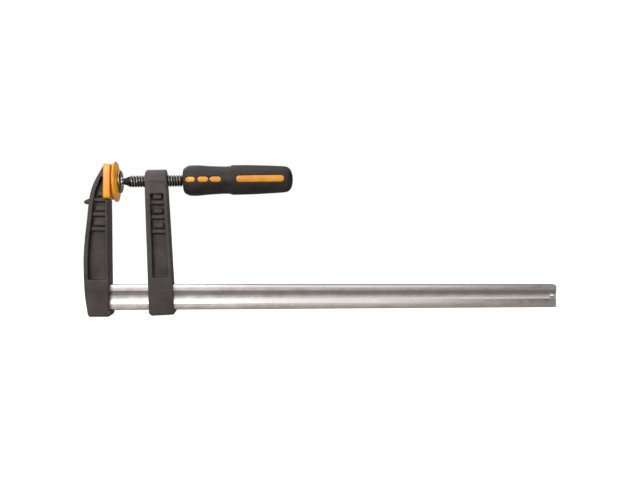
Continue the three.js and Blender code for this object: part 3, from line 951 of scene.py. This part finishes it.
@dataclass
class Pad:
    """The swivel pad: cap, plate, liner and ring; x is from the ball's middle, towards the screw."""

    face: float = -4.82
    radius: float = 23.2
    rim: float = 2.1
    shoulder: float = 0.4
    cone_end: float = -0.5
    seat_end: float = -0.7
    cone_radius: float = 13.2
    cone_wall: float = 1.6
    side_wall: float = 2.4
    skin: float = 1.0
    edge: float = 1.0
    edge_round: float = 0.55
    plate_margin: float = 4.0
    plate_gap: float = 0.35
    ball: float = 5.7
    liner: float = 1.4
    gap: float = 0.3
    ring_radius: float = 13.3
    ring_width: float = 3.1
    ring_mouth: float = 7.5
    ring_chamfer: tuple = (1.2, 2.2)

    def cap(self, place: Matrix, plastic: bpy.types.Material) -> bpy.types.Object:
        """Builds the moulded cap."""
        edge = self.radius - self.edge
        back = self.face + self.rim + self.shoulder
        floor = self.face + self.skin
        points = [(self.face, 0), (self.face, self.radius), (self.face + self.rim, self.radius), (back, edge),
                  (self.cone_end, self.cone_radius), (self.cone_end, self.cone_radius - self.cone_wall),
                  (back - self.shoulder, edge - self.side_wall), (floor, edge - self.side_wall), (floor, 0)]
        bm = turned_body(points, 96)
        round_edges(bm, hard_edges(bm, 20, lambda e: e.verts[0].co.yz.length > 0.011), self.edge_round, 3)
        cover = loose_object(place_on(bm, place), "pad_cover")
        return piece(cover, plastic, "pad", ["pad_cap"], 30)

    def plate(self, place: Matrix, steel: bpy.types.Material) -> bpy.types.Object:
        """Builds the plate inside the cap."""
        socket = self.ball + self.liner + 2 * self.gap
        start = self.face + self.skin + self.gap
        hole = math.sqrt(max(socket ** 2 - start ** 2, 0.01))
        disc = self.radius - self.plate_margin
        neck = self.cone_radius - self.cone_wall - self.plate_gap
        points = [(start, hole), (start, disc), (self.face + self.rim - 0.4, disc), (self.cone_end, neck)]
        points += arc(socket, self.cone_end, start, 10)[:-1]
        bm = turned_body(points, 72, closed=True)
        plate = loose_object(place_on(bm, place), "plate")
        return piece(plate, steel, "pad", ["pressure_plate"])

    def seat(self, place: Matrix, polymer: bpy.types.Material) -> bpy.types.Object:
        """Builds the liner under the ball."""
        inner, outer = self.ball + self.gap, self.ball + self.gap + self.liner
        floor = self.face + self.skin + 3 * self.gap
        points = arc(outer, self.seat_end, floor, 10) + arc(inner, floor, self.seat_end, 10)
        bm = turned_body(points, 56, closed=True)
        liner = loose_object(place_on(bm, place), "liner")
        return piece(liner, polymer, "pad_tilt", ["pad_seat"])

    def ring(self, place: Matrix, steel: bpy.types.Material) -> bpy.types.Object:
        """Builds the ring that holds the ball in the pad."""
        start, outer = self.cone_end + self.gap, self.ring_radius
        end = start + self.ring_width
        ball = self.ball + self.gap
        wide, deep = self.ring_chamfer
        points = [(start, outer), (end - wide, outer), (end, outer - deep), (end, self.ring_mouth)]
        points += arc(ball, end - 0.6, start, 8)
        bm = turned_body(points, 96, closed=True)
        round_edges(bm, hard_edges(bm, 30, lambda e: e.verts[0].co.yz.length > 0.007), 0.3, 2)
        ring = loose_object(place_on(bm, place), "ring")
        return piece(ring, steel, "pad_swing", ["retaining_ring"], 30)


# ---------------------------------------------------------------- studio


def in_scene(name: str, data: Any, matrix: Matrix) -> bpy.types.Object:
    """Puts a camera or light in the scene."""
    obj = bpy.data.objects.new(name, data)
    bpy.context.scene.collection.objects.link(obj)
    obj.matrix_world = matrix
    return obj


@dataclass(frozen=True)
class Lamp:
    """One studio light: a soft panel, or a narrow beam where it has an angle."""

    name: str
    place: tuple
    target: tuple
    power: float
    size: tuple = (0.0, 0.0)
    beam: float = 0.0
    bulb: float = 0.03

    def add(self) -> None:
        """Adds the light, turned to its target."""
        data = bpy.data.lights.new(self.name, "SPOT" if self.beam else "AREA")
        data.energy = self.power
        if self.beam:
            data.spot_size, data.spot_blend, data.shadow_soft_size = math.radians(self.beam), 1.0, self.bulb
        else:
            data.shape, data.size, data.size_y = "RECTANGLE", self.size[0], self.size[1]
        aim = (Vector(self.target) - Vector(self.place)).to_track_quat("-Z", "Y")
        in_scene(self.name, data, Matrix.Translation(self.place) @ aim.to_matrix().to_4x4())


@dataclass
class Studio:
    """Camera, soft light and a plain pale floor."""

    eye: tuple = (0.1363, -0.6873, -0.0561)
    yaw: float = -8.77
    pitch: float = -0.63
    roll: float = 0.78
    focal: float = 571.8 / 640
    floor_radius: float = 6.0
    floor_drop: float = 0.0002
    lamps: tuple = (
        Lamp("key", (-0.2, -1.05, 0.35), (0.12, 0, -0.08), 5, (0.6, 0.5)),
        Lamp("top", (-0.05, 0.05, 1.1), (0.2, 0, -0.1), 3, (0.9, 0.6)),
        Lamp("back", (-0.3, 1.0, 0.6), (0.2, 0, -0.06), 4, (0.8, 0.6)),
        Lamp("pad_light", (0.5, -0.34, 0.012), (0.008, 0, 0.001), 20, beam=4.4),
    )

    def camera(self) -> None:
        """Adds the camera."""
        data = bpy.data.cameras.new("camera")
        data.sensor_width, data.lens, data.clip_start = 36, 36 * self.focal, 0.01
        place = Matrix.Translation(self.eye) @ Matrix.Rotation(math.pi / 2, 4, "X")
        for angle, axis in ((self.yaw, "Y"), (self.pitch, "X"), (self.roll, "Z")):
            place = place @ Matrix.Rotation(math.radians(angle), 4, axis)
        bpy.context.scene.camera = in_scene("camera", data, place)

    def floor(self) -> None:
        """Adds the floor under the object."""
        bm = bmesh.new()
        bmesh.ops.create_circle(bm, cap_ends=True, segments=96, radius=self.floor_radius,
                                matrix=Matrix.Translation((0.2, 0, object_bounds()[0].z - self.floor_drop)))
        bmesh.ops.recalc_face_normals(bm, faces=bm.faces)
        obj = loose_object(bm, "floor")
        g = Graph("floor")
        tone = g.noise(g.place(), 3, 2)
        colour = g.blend(g.span(tone, 0.3, 0.7), (0.30, 0.28, 0.27), (0.33, 0.31, 0.30))
        seen = g.add("ShaderNodeLightPath", output="Is Camera Ray")
        obj.data.materials.append(g.set(Base_Color=colour, Roughness=0.9, Specular_IOR_Level=0.1,
                                        Emission_Color=(1.0, 1.0, 1.0), Emission_Strength=seen))
        obj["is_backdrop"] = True

    def surroundings(self) -> None:
        """Adds the soft light all round, brightest from the front and dark from the handle's side."""
        world = bpy.data.worlds.new("surroundings")
        bpy.context.scene.world = world
        world.use_nodes = True
        g = Nodes(world.node_tree)
        along, across, height = g.parts(g.add("ShaderNodeTexCoord", output="Generated"))
        level = g.span(height, -0.1, 0.3, 1.18, 0.95) * g.span(along, 0.42, 0.84, 1.0, 0.03)
        level = level * g.span(across, -0.1, 0.6, 1.0, 0.3)
        seen = g.add("ShaderNodeLightPath", output="Is Camera Ray")
        background = world.node_tree.nodes["Background"]
        g.fill(background.inputs["Strength"], g.maths("MAXIMUM", level, seen))
        g.fill(background.inputs["Color"], (1, 1, 1, 1))

    def build(self) -> None:
        """Sets up the studio."""
        self.camera()
        self.floor()
        self.surroundings()
        for lamp in self.lamps:
            lamp.add()
        bpy.context.scene.view_settings.view_transform = "Standard"


# ---------------------------------------------------------------- the clamp


def main() -> None:
    logging.basicConfig(level=logging.INFO, format="%(message)s")
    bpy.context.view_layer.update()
    screw_place, screw_rise = axis_place("spindle_turn")
    pad_place, _ = axis_place("pad_spin")

    enamel = CastEnamel().make()
    black_steel = ScrewSteel(screw_place.translation.copy(), screw_rise).make()
    pin_black = TurnedSteel("pin_black", (0.08, 0.075, 0.072), 0.38).make()
    pin_bright = TurnedSteel("pin_bright", (0.86, 0.86, 0.85), 0.2, shade=0.9).make()
    hardened = TurnedSteel("hardened", (0.36, 0.35, 0.34), 0.34).make()
    chrome = TurnedSteel("polished_chrome", (0.94, 0.94, 0.95), 0.16, shade=0.97).make()
    olive = TurnedSteel("passivated", (0.34, 0.27, 0.12), 0.3, shade=0.7).make()
    orange = MouldedPlastic("orange_cap", (0.92, 0.385, 0.012), (0.80, 0.30, 0.008), 0.32).make()
    glossy = MouldedPlastic("orange_handle", (0.92, 0.40, 0.025), (0.80, 0.28, 0.015), 0.26,
                            grain=0.1, coat=0.35).make()
    polymer = MouldedPlastic("polymer", (0.72, 0.70, 0.64), (0.62, 0.60, 0.55), 0.5).make()
    soft = SoftGrip().make()

    rail = Rail()
    rail.bar(DrawnSteel().make())
    rail.stop_pin(pin_bright)
    jaw = Casting("fixed_jaw", "rail_frame", "jaw_casting")
    jaw.shell(enamel)
    jaw.pin("jaw_pin_upper", "rail_frame", "jaw_rivet_upper", pin_black)
    jaw.pin("jaw_pin_lower", "rail_frame", "jaw_rivet_lower", pin_black)
    JawCap().build(orange)
    arm = Casting("sliding_arm", "arm", "arm_casting")
    arm.shell(enamel)
    arm.pin("grip_pin_upper", "slider", "arm_pin_upper", hardened)
    arm.pin("grip_pin_lower", "arm", "arm_pin_lower", hardened)
    screw = Screw()
    screw.build(screw_place, black_steel)
    screw.ball_end(pad_place, chrome)
    Handle().build(screw_place, soft, glossy)
    pad = Pad()
    pad.seat(pad_place, polymer)
    pad.plate(pad_place, hardened)
    pad.ring(pad_place, olive)
    pad.cap(pad_place, orange)
    Studio().build()


if __name__ == "__main__":
    main()
